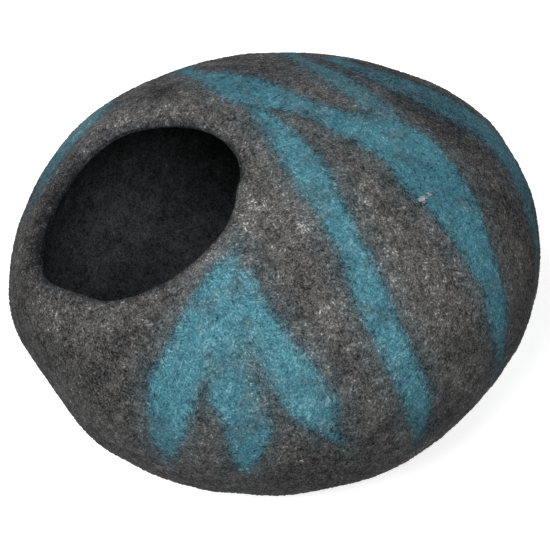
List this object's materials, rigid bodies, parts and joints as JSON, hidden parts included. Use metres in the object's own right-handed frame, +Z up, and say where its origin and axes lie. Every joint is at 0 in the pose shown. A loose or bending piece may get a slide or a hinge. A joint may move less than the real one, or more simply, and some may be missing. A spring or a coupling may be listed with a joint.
{
  "type": "felt cat cave",
  "caption": "Round hollow pet bed of thick wet-felted wool, one seamless shell with a flat base and a round entrance high on its front.",
  "frame": {"origin": "middle of the flat base that the cave rests on", "axes": "+Z up, -Y towards the front, where the entrance is"},
  "size_m": [0.4691, 0.4995, 0.2779],
  "materials": {
    "felt": "matt wet-felted wool, heathered dark grey with turquoise stripes felted into the surface"
  },
  "bodies": {
    "root": {"felt_shell": "felt"}
  },
  "joints": []
}
